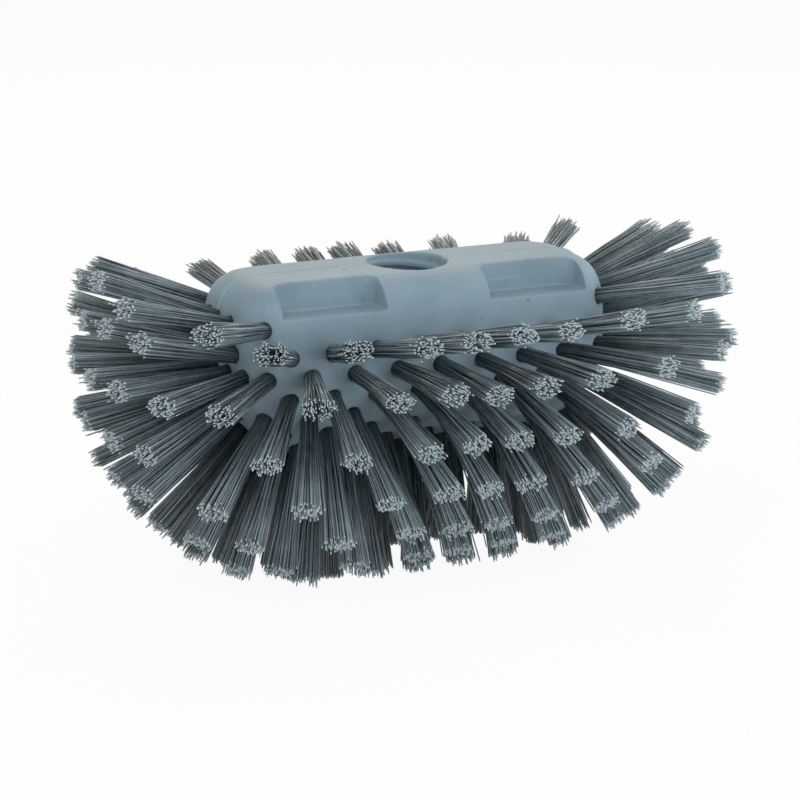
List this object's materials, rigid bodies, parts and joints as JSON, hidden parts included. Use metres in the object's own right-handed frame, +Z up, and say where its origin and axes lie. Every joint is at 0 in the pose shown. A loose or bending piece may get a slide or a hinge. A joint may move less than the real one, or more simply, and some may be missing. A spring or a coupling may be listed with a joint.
{
  "type": "tank brush head",
  "caption": "Brush head with a moulded plastic block, a handle socket in its top and stiff bristle tufts fanned round its sides, ends and underside.",
  "frame": {"origin": "centre of the bounding box on the level that the lowest bristles stand on", "axes": "+X along the block, +Y from front to back, +Z up along the handle socket"},
  "size_m": [0.204, 0.1262, 0.0959],
  "materials": {
    "block": "satin moulded polypropylene, grey blue",
    "bristles": "satin polyester filament, slate grey with pale cut tips",
    "staples": "bright stainless wire"
  },
  "bodies": {
    "root": {"block": "block", "bristles_front": "bristles", "bristles_back": "bristles", "bristles_left": "bristles", "bristles_right": "bristles", "staple_front_1": "staples", "staple_front_2": "staples", "staple_front_3": "staples", "staple_front_4": "staples", "staple_front_5": "staples", "staple_front_6": "staples", "staple_front_7": "staples", "staple_front_8": "staples", "staple_front_9": "staples", "staple_front_10": "staples", "staple_front_11": "staples", "staple_front_12": "staples", "staple_front_13": "staples", "staple_front_14": "staples", "staple_front_15": "staples", "staple_back_1": "staples", "staple_back_2": "staples", "staple_back_3": "staples", "staple_back_4": "staples", "staple_back_5": "staples", "staple_back_6": "staples", "staple_back_7": "staples", "staple_back_8": "staples", "staple_back_9": "staples", "staple_back_10": "staples", "staple_back_11": "staples", "staple_back_12": "staples", "staple_back_13": "staples", "staple_back_14": "staples", "staple_back_15": "staples"}
  },
  "joints": []
}
